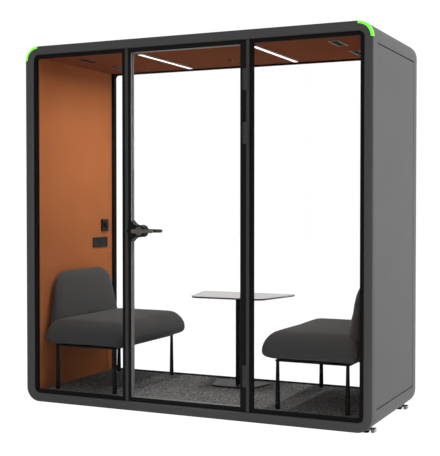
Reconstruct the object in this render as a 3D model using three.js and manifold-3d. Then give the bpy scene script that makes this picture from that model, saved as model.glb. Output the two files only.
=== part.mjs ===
// Acoustic office pod: a rounded, felt-lined cabin with a glazed front and rear, a hinged glass
// door, ceiling lights and fans, two upholstered benches and a pedestal table.
// Millimetres, +Z up. The front faces -Y. Pieces are drawn with X to the right, Y running back
// from the front face and Z up from the underside of the shell; the last lines move the origin
// to the ground, under the middle of the pod.
import * as THREE from 'three';
import { mergeVertices } from 'three/addons/utils/BufferGeometryUtils.js';
import Module from 'manifold-3d';

const wasm = await Module();
wasm.setup();

// Driving dimensions: shell
const podWidth = 2300;
const podDepth = 970;
const shellHeight = 2275;
const footHeight = 25;
const cornerRadius = 90;
const fit = 0.3;
const sheet = 3;
const sheetReturn = 20;
const frontDepth = 80;
const rearDepth = 77;
const faceWidth = 41;
const bevel = 13;
const bevelDepth = 15;
const edgeChamfer = 5;
const roofSkirt = 115;
const baseSkirt = 118;
const seam = 7;
const panelSkin = 2.5;
const panelReturn = 20;
const lightWidth = 15;
const lightDepth = 18;

// Driving dimensions: linings and floor
const liningInset = 82;
const liningTongue = 12;
const ceilingInset = 69;
const ceilingBoard = 12;
const deckPanel = 9;
const joistWidth = 45;
const joistEdgeGap = 113.2;
const carpetPile = 8;
const absorberGap = 3;
const cornerRelief = 28;

// Driving dimensions: glazing
const glassThickness = 10;
const glassBite = 10;
const gasketFront = 14;
const gasketDepth = 20;
const gasketWidth = 23;
const bayCentre = -5;
const bayHalf = 395.5;
const mullionWidth = 18;
const mullionFront = 8;
const mullionDepth = 56;
const stopWidth = 12;
const stopDepth = 6;
const rearGlazingSetback = 15;
const rearGlazingDepth = 29.7;
const rearPostWidth = 49.7;
const rearRailWidth = 24.5;
const rearJointX = 422;
const rearJointGap = 2;

// Driving dimensions: door, lock and hinges
const doorGap = 3;
const sealGap = 2;
const doorDepth = 40;
const latchStile = 16;
const hingeStile = 38;
const doorRail = 25;
const handleHeight = 1103;
const spindleInset = 76.5;
const lockPlate = 6;
const lockNose = 38;
const lockFlare = 64;
const lockRebate = 3;
const bellDip = 4;
const spindleRadius = 4.5;
const roseRadius = 27;
const roseThickness = 7.7;
const leverNeck = 10;
const leverStandOff = 40;
const leverLength = 112;
const leverTail = 36;
const leverHeight = 24;
const leverThickness = 12;
const latchHeight = 14;
const latchThickness = 10;
const latchThrow = 8;
const latchTail = 55;
const upperHingeDrop = 227;
const middleHingeDrop = 538;
const lowerHingeRise = 208;
const hingeLength = 125;
const barrelRadius = 6.5;
const pinRadius = 2.9;
const leafThickness = 3;
const leafWidth = 13;
const hingeInset = 4;
const hingeProud = 7;

// Driving dimensions: lights, air and controls
const lampOffset = 385;
const lampLength = 600;
const lampWidth = 32;
const lampHeight = 10;
const lampWall = 2.5;
const ventSideGap = 213;
const ventPitch = 406;
const ventLength = 185;
const ventWidth = 50;
const ventWall = 2.5;
const ventLip = 7;
const slatCount = 2;
const slatHeight = 8;
const fanRadius = 53;
const fanGap = 3;
const fanHousing = 32;
const fanHub = 18;
const fanBlades = 7;
const fanShaft = 2.2;
const fanArmWidth = 6;
const fanArmDepth = 4;
const bladeThickness = 1.8;
const bladePitch = 35;
const sensorRadius = 20;
const sensorDrop = 13;
const sensorX = 4;
const sensorSetback = 155;
const controlWidth = 80;
const controlHeight = 86;
const controlDepth = 14;
const controlCorner = 6;
const controlBackGap = 110;
const controlZ = 1118;
const knobRadius = 19;
const knobDepth = 16;
const pointerWidth = 2.5;
const pointerDepth = 1.5;
const socketWidth = 192;
const socketHeight = 72;
const socketDepth = 6;
const socketCorner = 5;
const socketMargin = 12;
const socketRecess = 1.5;
const socketBackGap = 166;
const socketZ = 999;
const inletSideGap = 550;
const inletBackGap = 93;
const inletWidth = 50;
const inletLength = 34;
const inletDepth = 30;
const inletFlange = 10;

// Driving dimensions: feet
const footInset = 80;
const frontFootY = 150;
const rearFootGap = 27;
const bracketLength = 46;
const bracketPlate = 8;
const bracketCheek = 20;
const bracketReach = 35;
const cheekHeight = 20;
const padRadius = 20;
const padChamfer = 4;
const padShoulder = 5;
const studRadius = 5;
const studLength = 30;

// Driving dimensions: benches and table
const wallGap = 18;
const benchDepth = 588;
const benchEndGap = 50;
const seatUnderside = 289;
const seatThickness = 168;
const seatCrown = 10;
const seatCorner = 125;
const seatWaist = 42;
const seatRoll = 100;
const seatUnderRoll = 34;
const panThickness = 8;
const panMargin = 14;
const legSpacingX = 426;
const legEndInset = 50;
const legInset = 72;
const legTop = 10;
const legFoot = 14.5;
const legToe = 4;
const backHeight = 361;
const backSink = 45;
const backBaseInset = 35;
const backTopInset = 125;
const backFootCorner = 20;
const backHeadCorner = 120;
const backShoulderDrop = 95;
const backShoulderFlare = 42;
const backBaseThickness = 90;
const backTopThickness = 34;
const backBar = 6;
const backBarWidth = 40;
const backBarHeight = 340;
const backBarInset = 100;
const tableX = 27;
const tableBackGap = 5;
const tableHeight = 597;
const tableLength = 700;
const tableWidth = 420;
const tableTaper = 0.72;
const tableThickness = 12;
const tableCorner = 60;
const tableUndercut = 9;
const tableEase = 1;
const standLength = 396;
const standWidth = 238;
const standPlate = 10;
const standCorner = 40;
const columnRadius = 15;
const spiderSize = 150;
const spiderPlate = 5;
const spiderCorner = 15;

// Places that follow from the driving dimensions
const side = podWidth / 2;
const ringWidth = faceWidth + bevel;
const inside = side - liningInset;
const ceiling = shellHeight - ceilingInset;
const deckTop = ringWidth + 1 + deckPanel;
const floorTop = deckTop + carpetPile;
const gasketBack = gasketFront + gasketDepth;
const rearGasketBack = podDepth - rearGlazingSetback;
const rearGasketFront = rearGasketBack - rearGlazingDepth;
const liningFront = gasketBack + fit;
const liningBack = rearGasketFront - fit;
const rearRing = podDepth - rearDepth;
const bayLeft = bayCentre - bayHalf;
const bayRight = bayCentre + bayHalf;
const mullionBack = mullionFront + mullionDepth;
const stopFront = mullionBack - stopDepth;
const doorBack = stopFront - sealGap;
const doorFront = doorBack - doorDepth;
const doorLeft = bayLeft + doorGap;
const doorRight = bayRight - doorGap;
const doorMiddle = (doorFront + doorBack) / 2;
const spindleX = doorLeft + spindleInset;
const lockFront = doorFront - lockPlate;
const lockBack = doorBack + lockPlate;
const leverReach = leverStandOff - lockFront;
const podMiddle = podDepth / 2;
const boardX = side - ringWidth - fit;
const joistPitch = (boardX - joistEdgeGap - joistWidth / 2) / 2;
const ventOffset = inside - ventSideGap;
const sensorY = podMiddle + sensorSetback;
const controlY = liningBack - controlBackGap;
const socketY = liningBack - socketBackGap;
const inletX = inletSideGap - side;
const inletY = rearRing - inletBackGap;
const rearFootY = rearRing - rearFootGap;
const benchRear = inside - wallGap;
const benchLength = podDepth - 2 * benchEndGap;
const benchUnderside = floorTop + seatUnderside;
const benchTop = benchUnderside + seatThickness;
const legSpacingY = benchLength - 2 * legEndInset;
const backBaseWidth = benchLength - 2 * backBaseInset;
const backTopWidth = benchLength - 2 * backTopInset;
const backBarSpacing = backTopWidth - 2 * backBarInset;
const tableY = liningBack - tableBackGap - tableWidth / 2;

// Finishes
function finish(color, roughness, metalness = 0) {
  return new THREE.MeshStandardMaterial({ color, roughness, metalness });
}

const graphite = finish(0x424242, 0.6);
const panelGrey = finish(0x7a7a7a, 0.7);
const blackRubber = finish(0x181818, 0.7);
const blackMetal = finish(0x1a1a1a, 0.5, 0.3);
const clearGlass = finish(0xdfe8e8, 0.05);
const orangeFelt = finish(0xa5623f, 0.95);
const ceilingFelt = finish(0x8a4c2e, 0.95);
const greyCarpet = finish(0x50504e, 1);
const plywood = finish(0xa88a5f, 0.8);
const greenLight = finish(0x70ff3c, 0.4);
const alloy = finish(0xa9a9a9, 0.4, 0.8);
const opal = finish(0xfafafa, 0.5);
const leverGrey = finish(0x5a5550, 0.35, 0.6);
const blackPlastic = finish(0x242424, 0.5);
const upholstery = finish(0x454443, 0.95);
const whiteLaminate = finish(0xe2e0de, 0.4);

// Solid modelling tools
const alongX = new THREE.Matrix4().makeBasis(
  new THREE.Vector3(0, 1, 0),
  new THREE.Vector3(0, 0, 1),
  new THREE.Vector3(1, 0, 0),
);
const alongY = new THREE.Matrix4().makeBasis(
  new THREE.Vector3(1, 0, 0),
  new THREE.Vector3(0, 0, 1),
  new THREE.Vector3(0, -1, 0),
);

function solidOf(geometry) {
  const bare = geometry.clone();
  bare.deleteAttribute('normal');
  bare.deleteAttribute('uv');
  const welded = mergeVertices(bare, 1e-3);
  return new wasm.Manifold(new wasm.Mesh({
    numProp: 3,
    vertProperties: new Float32Array(welded.attributes.position.array),
    triVerts: new Uint32Array(welded.index.array),
  }));
}

function geometryOf(solid) {
  const mesh = solid.getMesh();
  const geometry = new THREE.BufferGeometry();
  geometry.setAttribute('position', new THREE.BufferAttribute(mesh.vertProperties, 3));
  geometry.setIndex(new THREE.BufferAttribute(mesh.triVerts, 1));
  return geometry;
}

function join(...pieces) {
  return geometryOf(pieces.map(solidOf).reduce((all, piece) => all.add(piece)));
}

function cut(body, ...tools) {
  return geometryOf(tools.map(solidOf).reduce((left, tool) => left.subtract(tool), solidOf(body)));
}

function overlap(body, tool) {
  return geometryOf(solidOf(body).intersect(solidOf(tool)));
}

function block([x0, x1], [y0, y1], [z0, z1]) {
  const box = new THREE.BoxGeometry(x1 - x0, y1 - y0, z1 - z0);
  return box.translate((x0 + x1) / 2, (y0 + y1) / 2, (z0 + z1) / 2);
}

// A range of the given length about a middle value
function about(middle, length) {
  return [middle - length / 2, middle + length / 2];
}

function grown([low, high], by) {
  return [low - by, high + by];
}

// Upright extrusion of a shape drawn in X and Y
function upright(shape, [z0, z1], curveSegments = 8) {
  const options = { depth: z1 - z0, bevelEnabled: false, curveSegments };
  return new THREE.ExtrudeGeometry(shape, options).translate(0, 0, z0);
}

// Extrusion from front to back of a shape drawn in X and Z
function frontToBack(shape, [y0, y1], curveSegments = 8) {
  const options = { depth: y1 - y0, bevelEnabled: false, curveSegments };
  return new THREE.ExtrudeGeometry(shape, options).applyMatrix4(alongY).translate(0, y1, 0);
}

// Extrusion across the pod of a shape drawn in Y and Z
function across(shape, [x0, x1], curveSegments = 8) {
  const options = { depth: x1 - x0, bevelEnabled: false, curveSegments };
  return new THREE.ExtrudeGeometry(shape, options).applyMatrix4(alongX).translate(x0, 0, 0);
}

// Round bar along Y
function barAlongY(radius, x, [y0, y1], z, sides = 20) {
  const bar = new THREE.CylinderGeometry(radius, radius, y1 - y0, sides);
  return bar.translate(x, (y0 + y1) / 2, z);
}

// Round bar along Z
function barAlongZ(radius, x, y, [z0, z1], sides = 20) {
  const bar = new THREE.CylinderGeometry(radius, radius, z1 - z0, sides);
  return bar.rotateX(Math.PI / 2).translate(x, y, (z0 + z1) / 2);
}

// Turned piece on a vertical axis, from [radius, height] pairs that start and end on the axis
function turned(profile, sides = 16) {
  const points = profile.map(([radius, height]) => new THREE.Vector2(radius, height));
  return new THREE.LatheGeometry(points, sides).rotateX(Math.PI / 2);
}

// Rounded rectangle as points, anticlockwise from the right side of its top right corner.
// The radii are listed from the top right corner, anticlockwise.
function roundedLoop([x0, x1], [z0, z1], radii, inset = 0, steps = 8) {
  const corners = [[x1, z1], [x0, z1], [x0, z0], [x1, z0]];
  const loop = [];
  corners.forEach(([x, z], corner) => {
    const radius = Math.max(radii[corner] - inset, 1);
    const reach = inset + radius;
    const centreX = x === x1 ? x - reach : x + reach;
    const centreZ = z === z1 ? z - reach : z + reach;
    for (let step = 0; step <= steps; step += 1) {
      const angle = (corner + step / steps) * (Math.PI / 2);
      loop.push(new THREE.Vector2(
        centreX + radius * Math.cos(angle),
        centreZ + radius * Math.sin(angle),
      ));
    }
  });
  return loop;
}

// Flat pane or board in the X-Z plane with rounded corners
function pane(xRange, zRange, radii, yRange, inset = 0) {
  return frontToBack(new THREE.Shape(roundedLoop(xRange, zRange, radii, inset)), yRange);
}

// Flat plate in the X-Y plane with rounded corners
function plate(xRange, yRange, radius, zRange) {
  const radii = [radius, radius, radius, radius];
  return upright(new THREE.Shape(roundedLoop(xRange, yRange, radii, 0, 6)), zRange);
}

// Skin between rows of points; the last row joins the first, or both ends close on a middle point
function skin(rows, closedRound) {
  const count = rows[0].length;
  const positions = rows.flat().flatMap((point) => [point.x, point.y, point.z]);
  const faces = [];
  const bands = closedRound ? rows.length : rows.length - 1;
  for (let row = 0; row < bands; row += 1) {
    const next = (row + 1) % rows.length;
    for (let i = 0; i < count; i += 1) {
      const j = (i + 1) % count;
      faces.push(row * count + i, row * count + j, next * count + j);
      faces.push(row * count + i, next * count + j, next * count + i);
    }
  }
  if (!closedRound) {
    [0, rows.length - 1].forEach((row) => {
      const middle = new THREE.Vector3();
      rows[row].forEach((point) => middle.addScaledVector(point, 1 / count));
      const pole = positions.length / 3;
      positions.push(middle.x, middle.y, middle.z);
      for (let i = 0; i < count; i += 1) {
        const j = (i + 1) % count;
        const fan = [pole, row * count + j, row * count + i];
        faces.push(...(row === 0 ? fan : fan.reverse()));
      }
    });
  }
  const geometry = new THREE.BufferGeometry();
  geometry.setAttribute('position', new THREE.Float32BufferAttribute(positions, 3));
  geometry.setIndex(faces);
  return geometry;
}

// Frame whose section, a list of [inset, y] points, runs all round a rounded rectangle
function frameRing(xRange, zRange, radii, section) {
  const rows = section.map(([inset, y]) => roundedLoop(xRange, zRange, radii, inset)
    .map((point) => new THREE.Vector3(point.x, y, point.y)));
  return skin(rows, true);
}

const pod = new THREE.Group();

function add(name, geometry, material) {
  const mesh = new THREE.Mesh(geometry, material);
  mesh.name = name;
  pod.add(mesh);
}

const sides = [['left', -1], ['right', 1]];

// A range on one side of the pod, given by its distances from the middle
function sided(sign, near, far) {
  return sign > 0 ? [near, far] : [-far, -near];
}

// Front and rear rings
const outerX = [-side, side];
const outerZ = [0, shellHeight];
const outerRadii = [cornerRadius, cornerRadius, cornerRadius, cornerRadius];

// The curved bevel that leads from the flat face to the glazing
function bevelPoints(steps = 4) {
  const points = [];
  for (let step = 0; step <= steps; step += 1) {
    const angle = (step / steps) * (Math.PI / 2);
    points.push([faceWidth + bevel * Math.sin(angle), bevelDepth * (1 - Math.cos(angle))]);
  }
  return points;
}

const ringFace = [[0, edgeChamfer], [edgeChamfer / 3, edgeChamfer / 3], [edgeChamfer, 0]];
const frontSection = [[0, frontDepth], ...ringFace, ...bevelPoints(), [ringWidth, frontDepth]];
const rearSection = [...ringFace, ...bevelPoints(), [ringWidth, rearDepth], [0, rearDepth]]
  .map(([inset, depth]) => [inset, podDepth - depth])
  .reverse();
const plainFrontRing = frameRing(outerX, outerZ, outerRadii, frontSection);

// Quarter ring at a top corner, from the light's inner edge out past the shell
function cornerSector(sign, clearance) {
  const centreX = sign * (side - cornerRadius);
  const centreZ = shellHeight - cornerRadius;
  const start = sign > 0 ? 0 : Math.PI / 2;
  const end = start + Math.PI / 2;
  const inner = cornerRadius - lightWidth - clearance;
  const slack = clearance / cornerRadius;
  const sector = new THREE.Shape();
  sector.absarc(centreX, centreZ, cornerRadius + lightWidth, start - slack, end + slack, false);
  sector.absarc(centreX, centreZ, inner, end + slack, start - slack, true);
  sector.closePath();
  return frontToBack(sector, [-lightDepth, lightDepth + clearance], 10);
}

add('front_frame', cut(plainFrontRing, ...sides.map(([, sign]) => cornerSector(sign, fit))), graphite);
sides.forEach(([name, sign]) => {
  add(`${name}_corner_light`, overlap(plainFrontRing, cornerSector(sign, 0)), greenLight);
});
add('rear_frame', frameRing(outerX, outerZ, outerRadii, rearSection), graphite);

// Roof and base: folded sheets with rounded shoulders and returned lower edges
function foldedShell(skirt) {
  const outline = new THREE.Shape();
  const inner = cornerRadius - sheet;
  const shoulder = side - cornerRadius;
  const edge = shellHeight - skirt;
  const top = shellHeight - cornerRadius;
  outline.moveTo(side - sheetReturn, edge);
  outline.lineTo(side, edge);
  outline.lineTo(side, top);
  outline.absarc(shoulder, top, cornerRadius, 0, Math.PI / 2, false);
  outline.absarc(-shoulder, top, cornerRadius, Math.PI / 2, Math.PI, false);
  outline.lineTo(-side, edge);
  outline.lineTo(sheetReturn - side, edge);
  outline.lineTo(sheetReturn - side, edge + sheet);
  outline.lineTo(sheet - side, edge + sheet);
  outline.absarc(-shoulder, top, inner, Math.PI, Math.PI / 2, true);
  outline.absarc(shoulder, top, inner, Math.PI / 2, 0, true);
  outline.lineTo(side - sheet, edge + sheet);
  outline.lineTo(side - sheetReturn, edge + sheet);
  outline.closePath();
  return frontToBack(outline, [frontDepth + fit, rearRing - fit]);
}

const inletCut = block(
  about(inletX, inletWidth - 2 * sheet),
  about(inletY, inletLength - 2 * sheet),
  [shellHeight - 2 * sheet, shellHeight + sheet],
);
add('roof_shell', cut(foldedShell(roofSkirt), inletCut), graphite);

// Base with the brackets of the feet welded under it and holes for their studs
const footPlaces = [
  ['front_left', footInset - side, frontFootY],
  ['front_right', side - footInset, frontFootY],
  ['rear_left', footInset - side, rearFootY],
  ['rear_right', side - footInset, rearFootY],
];

function footBracket(x, y) {
  const outward = Math.sign(x);
  const outer = Math.abs(x) + bracketReach + bracketCheek;
  const cheek = sided(outward, outer - bracketCheek, outer);
  const top = sided(outward, Math.abs(x) - padRadius, outer);
  const length = about(y, bracketLength);
  return join(block(top, length, [-bracketPlate, sheet / 2]), block(cheek, length, [-cheekHeight, 0]));
}

const brackets = footPlaces.map(([, x, y]) => footBracket(x, y));
const studHoles = footPlaces.map(([, x, y]) => barAlongZ(
  studRadius + 2 * fit, x, y, [-footHeight, studLength], 16,
));
const baseSheet = foldedShell(baseSkirt).rotateY(Math.PI).translate(0, 0, shellHeight);
add('base_shell', cut(join(baseSheet, ...brackets), ...studHoles), graphite);
footPlaces.forEach(([name, x, y]) => {
  const padTop = -bracketPlate - fit;
  const foot = turned([
    [0, -footHeight],
    [padRadius - padChamfer, -footHeight],
    [padRadius, -footHeight + padChamfer],
    [padRadius, padTop - padShoulder],
    [studRadius * 2, padTop],
    [studRadius, padTop],
    [studRadius, studLength],
    [0, studLength],
  ], 20);
  add(`${name}_foot`, foot.translate(x, y, 0), blackRubber);
});

// Side panels: trays of thin sheet with returned edges, set in a shadow gap
sides.forEach(([name, sign]) => {
  const length = [frontDepth + fit, rearRing - seam];
  const height = [baseSkirt + seam, shellHeight - roofSkirt - seam];
  const tray = block(sided(sign, side - panelReturn, side), length, height);
  const hollow = block(
    sided(sign, side - 2 * panelReturn, side - panelSkin),
    grown(length, -panelSkin),
    grown(height, -panelSkin),
  );
  add(`${name}_side_panel`, cut(tray, hollow), panelGrey);
});

// Between the rings the boards run out to the panels; thinner tongues reach on to the glazing
const boardY = [frontDepth + 2 * fit, rearRing - 2 * fit];
const tongueY = [liningFront, liningBack];

// Wall linings: felt-faced absorber boards
sides.forEach(([name, sign]) => {
  const height = [deckTop + fit, ceiling - fit];
  const tongue = block(sided(sign, inside, inside + liningTongue), tongueY, height);
  const board = block(sided(sign, inside, side - panelReturn - absorberGap), boardY, height);
  const edges = [[0, baseSkirt + fit], [shellHeight - roofSkirt - fit, shellHeight]];
  const skirtCuts = edges.map((range) => block(
    sided(sign, side - cornerRelief - liningTongue, side),
    grown(boardY, 1),
    range,
  ));
  add(`${name}_wall_lining`, cut(join(tongue, board), ...skirtCuts), orangeFelt);
});

// The door and its posts stand in this bay, which the ceiling and floor leave free
const bayCut = block(
  grown([bayLeft, bayRight], mullionWidth + fit),
  [0, mullionBack + fit],
  [0, shellHeight],
);

// Ceiling board with a slot for each vent
const ventPlaces = sides.flatMap(([name, sign]) => [
  [`front_${name}_vent`, sign * ventOffset, podMiddle - ventPitch / 2, true],
  [`rear_${name}_vent`, sign * ventOffset, podMiddle + ventPitch / 2, false],
]);
const ceilingZ = [ceiling, ceiling + ceilingBoard];
const ceilingBlock = join(
  block([-boardX, boardX], boardY, ceilingZ),
  block(grown([-inside, inside], -fit), tongueY, ceilingZ),
);
const ventSlots = ventPlaces.map(([, x, y]) => block(
  about(x, ventWidth + 2 * fit),
  about(y, ventLength + 2 * fit),
  [ceiling - sheet, ceiling + 2 * ceilingBoard],
));
add('ceiling_lining', cut(ceilingBlock, bayCut, ...ventSlots), ceilingFelt);

// Floor deck: a panel on joists that stand on the base sheet
const deckZ = [deckTop - deckPanel, deckTop];
const deck = join(
  block([-boardX, boardX], boardY, deckZ),
  block(grown([-inside, inside], -liningTongue), tongueY, deckZ),
);
const joists = [-2, -1, 0, 1, 2].map((place) => block(
  about(place * joistPitch, joistWidth),
  boardY,
  [sheet + fit, deckTop - deckPanel / 2],
));
add('floor_deck', cut(join(deck, ...joists), bayCut), plywood);
const carpetBlock = block(
  grown([-inside, inside], -fit),
  tongueY,
  [deckTop + fit, floorTop],
);
add('carpet', cut(carpetBlock, bayCut), greyCarpet);

// Mullions: flat bars with a door stop along the back edge and notches where they meet the ring
const mullionZ = [ringWidth + fit, shellHeight - ringWidth - fit];
const strikeClearance = latchThrow - doorGap + 2;
const strikeNotch = block(
  [bayLeft - strikeClearance, bayLeft + stopWidth / 2],
  [0, doorMiddle + latchThickness / 2 + 2 * fit],
  about(handleHeight, latchHeight + 4 * fit),
);
sides.forEach(([name, sign]) => {
  const bar = block(sided(sign, bayHalf, bayHalf + mullionWidth), [mullionFront, mullionBack], mullionZ);
  const stopX = sided(sign, bayHalf - stopWidth, bayHalf + mullionWidth / 2);
  const stop = block(stopX, [stopFront, mullionBack], mullionZ);
  const mullion = join(bar, stop).translate(bayCentre, 0, 0);
  add(`${name}_mullion`, sign < 0 ? cut(mullion, strikeNotch) : mullion, graphite);
});

// Front glazing: a pane in a rubber gasket on each side of the door bay
const paneMiddle = (gasketFront + gasketBack) / 2;
const slotFront = paneMiddle - glassThickness / 2 - fit;
const slotBack = paneMiddle + glassThickness / 2 + fit;
const slotInset = gasketWidth - glassBite - fit;
const gasketSection = [
  [0, gasketFront],
  [gasketWidth, gasketFront],
  [gasketWidth, slotFront],
  [slotInset, slotFront],
  [slotInset, slotBack],
  [gasketWidth, slotBack],
  [gasketWidth, gasketBack],
  [0, gasketBack],
];
const glazingRadius = cornerRadius - ringWidth - fit;
sides.forEach(([name, sign]) => {
  const near = bayHalf + mullionWidth + fit + sign * bayCentre;
  const width = sided(sign, near, side - ringWidth - fit);
  const radii = sign > 0
    ? [glazingRadius, 1, 1, glazingRadius]
    : [1, glazingRadius, glazingRadius, 1];
  add(`${name}_gasket`, frameRing(width, mullionZ, radii, gasketSection), blackRubber);
  const glassRange = about(paneMiddle, glassThickness);
  add(`${name}_front_glass`, pane(width, mullionZ, radii, glassRange, slotInset + fit), clearGlass);
});

// Rear glazing: one frame with wide posts, and two panes that meet at a clear butt joint
const rearX = grown(outerX, -ringWidth - fit);
const rearRadii = [glazingRadius, glazingRadius, glazingRadius, glazingRadius];
const rearMiddle = (rearGasketFront + rearGasketBack) / 2;
const sightX = grown(rearX, -rearPostWidth);
const sightZ = grown(mullionZ, -rearRailWidth);
const sightRadii = [rearRailWidth, rearRailWidth, rearRailWidth, rearRailWidth];
const rearPaneX = grown(sightX, glassBite);
const rearPaneZ = grown(sightZ, glassBite);
const squareRadii = [1, 1, 1, 1];
const rearBlank = pane(rearX, mullionZ, rearRadii, [rearGasketFront, rearGasketBack]);
const rearSight = pane(sightX, sightZ, sightRadii, [rearGasketFront - 1, rearGasketBack + 1]);
const rearSlot = pane(
  grown(rearPaneX, fit),
  grown(rearPaneZ, fit),
  squareRadii,
  about(rearMiddle, glassThickness + 2 * fit),
);
add('rear_glazing_frame', cut(rearBlank, rearSight, rearSlot), blackRubber);
const rearGlassY = about(rearMiddle, glassThickness);
const jointLeft = rearJointX - rearJointGap / 2;
const jointRight = rearJointX + rearJointGap / 2;
add('rear_left_glass', pane([rearPaneX[0], jointLeft], rearPaneZ, squareRadii, rearGlassY), clearGlass);
add('rear_right_glass', pane([jointRight, rearPaneX[1]], rearPaneZ, squareRadii, rearGlassY), clearGlass);

// Door leaf: a slim frame, wider on its hinge side, round one pane
const doorX = [doorLeft, doorRight];
const doorZ = grown(mullionZ, fit - doorGap);
const doorY = [doorFront, doorBack];
const openingX = [doorLeft + latchStile, doorRight - hingeStile];
const openingZ = grown(doorZ, -doorRail);
const doorBite = Math.min(glassBite, latchStile / 2);
const doorPaneX = grown(openingX, doorBite);
const doorPaneZ = grown(openingZ, doorBite);
const latchHole = block(
  [doorLeft - fit, spindleX],
  about(doorMiddle, latchThickness + 2 * fit),
  about(handleHeight, latchHeight + 2 * fit),
);
add('door_frame', cut(
  block(doorX, doorY, doorZ),
  block(openingX, grown(doorY, 1), openingZ),
  block(grown(doorPaneX, fit), about(doorMiddle, glassThickness + 2 * fit), grown(doorPaneZ, fit)),
  latchHole,
), blackMetal);

// Lock case: two bell-shaped plates and the body between them, let into the pane
function bellShape(leftEdge, clearance) {
  const nose = lockNose + clearance;
  const flare = lockFlare + clearance;
  const turn = (118 * Math.PI) / 180;
  const neckX = spindleX + nose * Math.cos(turn);
  const neckZ = nose * Math.sin(turn);
  const rootX = Math.max(openingX[0] + clearance, leftEdge + 1);
  const bell = new THREE.Shape();
  bell.moveTo(leftEdge, handleHeight - flare);
  bell.lineTo(rootX, handleHeight - flare);
  bell.quadraticCurveTo((rootX + neckX) / 2, handleHeight - neckZ - bellDip, neckX, handleHeight - neckZ);
  bell.absarc(spindleX, handleHeight, nose, -turn, turn, false);
  bell.quadraticCurveTo((rootX + neckX) / 2, handleHeight + neckZ + bellDip, rootX, handleHeight + flare);
  bell.lineTo(leftEdge, handleHeight + flare);
  bell.closePath();
  return bell;
}

const lockRoot = openingX[0] + fit;
const stopEdge = bayLeft + stopWidth + 1;
const frontPlate = frontToBack(bellShape(doorLeft, 0), [lockFront, doorFront - fit], 12);
const lockBody = frontToBack(bellShape(lockRoot, -lockRebate), [lockFront + fit, lockBack - fit], 12);
const insidePlate = frontToBack(bellShape(stopEdge, 0), [doorBack + fit, lockBack], 12);
const paneNotch = frontToBack(bellShape(openingX[0] - doorBite - 1, 0), doorY, 12);
const doorPane = pane(doorPaneX, doorPaneZ, squareRadii, about(doorMiddle, glassThickness));
add('door_glass', cut(doorPane, paneNotch), clearGlass);
add('lock_case', cut(
  join(frontPlate, lockBody, insidePlate),
  barAlongY(spindleRadius + 2 * fit, spindleX, grown([lockFront, lockBack], 1), handleHeight),
  block(
    [lockRoot - fit, spindleX - 3 * spindleRadius],
    about(doorMiddle, latchThickness + 2 * fit),
    about(handleHeight, latchHeight + 2 * fit),
  ),
), blackMetal);

// Lever set: a spindle with a rose and a tapered grip on each side of the door
function leverGrip() {
  const grip = new THREE.Shape();
  const root = leverHeight / 2;
  const end = root * 0.85;
  const tailX = spindleX - leverTail + root;
  const tipX = spindleX + leverLength - end;
  grip.moveTo(tailX, handleHeight - root);
  grip.lineTo(tipX, handleHeight - end);
  grip.absarc(tipX, handleHeight, end, -Math.PI / 2, Math.PI / 2, false);
  grip.lineTo(tailX, handleHeight + root);
  grip.absarc(tailX, handleHeight, root, Math.PI / 2, (3 * Math.PI) / 2, false);
  return grip;
}

function leverHalf(face, outward) {
  const reach = (distance) => face + outward * distance;
  const span = (near, far) => [reach(near), reach(far)].sort((a, b) => a - b);
  return [
    barAlongY(roseRadius, spindleX, span(fit, fit + roseThickness), handleHeight, 28),
    barAlongY(leverNeck, spindleX, span(roseThickness, leverStandOff - 1), handleHeight),
    frontToBack(leverGrip(), span(leverStandOff - leverThickness, leverStandOff), 10),
  ];
}

const spindle = barAlongY(spindleRadius, spindleX, grown([lockFront, lockBack], roseThickness), handleHeight);
add('lever', join(spindle, ...leverHalf(lockFront, -1), ...leverHalf(lockBack, 1)), leverGrey);

// Latch bolt with a bevelled tongue that reaches into the notch of the left mullion
const tongue = doorLeft - latchThrow;
const latchShape = new THREE.Shape([
  new THREE.Vector2(tongue, doorMiddle - latchThickness / 2),
  new THREE.Vector2(tongue + latchTail, doorMiddle - latchThickness / 2),
  new THREE.Vector2(tongue + latchTail, doorMiddle + latchThickness / 2),
  new THREE.Vector2(doorLeft, doorMiddle + latchThickness / 2),
]);
add('latch_bolt', upright(latchShape, about(handleHeight, latchHeight)), alloy);

// Hinges: the frame leaf carries the pin and the outer knuckles, the door leaf the middle one
const hingeX = doorRight - hingeInset;
const hingeY = doorFront - hingeProud;
const hingeHeights = [
  ['upper', doorZ[1] - upperHingeDrop],
  ['middle', doorZ[1] - middleHingeDrop],
  ['lower', doorZ[0] + lowerHingeRise],
];

function knuckle(zRange) {
  return barAlongZ(barrelRadius, hingeX, hingeY, zRange);
}

// Space that a leaf leaves round the other leaf's knuckle
function knuckleSpace(zRange) {
  return barAlongZ(barrelRadius + 2 * fit, hingeX, hingeY, grown(zRange, fit));
}

hingeHeights.forEach(([name, middle]) => {
  const whole = about(middle, hingeLength);
  const centre = about(middle, hingeLength / 3);
  const lower = [whole[0], centre[0] - fit];
  const upper = [centre[1] + fit, whole[1]];
  const pin = barAlongZ(pinRadius, hingeX, hingeY, whole, 16);
  const frameLeaf = cut(
    block(
      [hingeX, bayRight + leafWidth],
      about(mullionFront - fit - leafThickness / 2, leafThickness),
      whole,
    ),
    knuckleSpace(centre),
  );
  add(`${name}_hinge_frame_leaf`, join(frameLeaf, knuckle(lower), knuckle(upper), pin), blackMetal);
  const doorLeaf = cut(
    block(
      [hingeX - barrelRadius - leafWidth, hingeX],
      about(doorFront - fit - leafThickness / 2, leafThickness),
      whole,
    ),
    knuckleSpace(lower),
    knuckleSpace(upper),
  );
  const bore = barAlongZ(pinRadius + 2 * fit, hingeX, hingeY, grown(centre, 1), 16);
  add(`${name}_hinge_door_leaf`, cut(join(doorLeaf, knuckle(centre)), bore), blackMetal);
});

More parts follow.
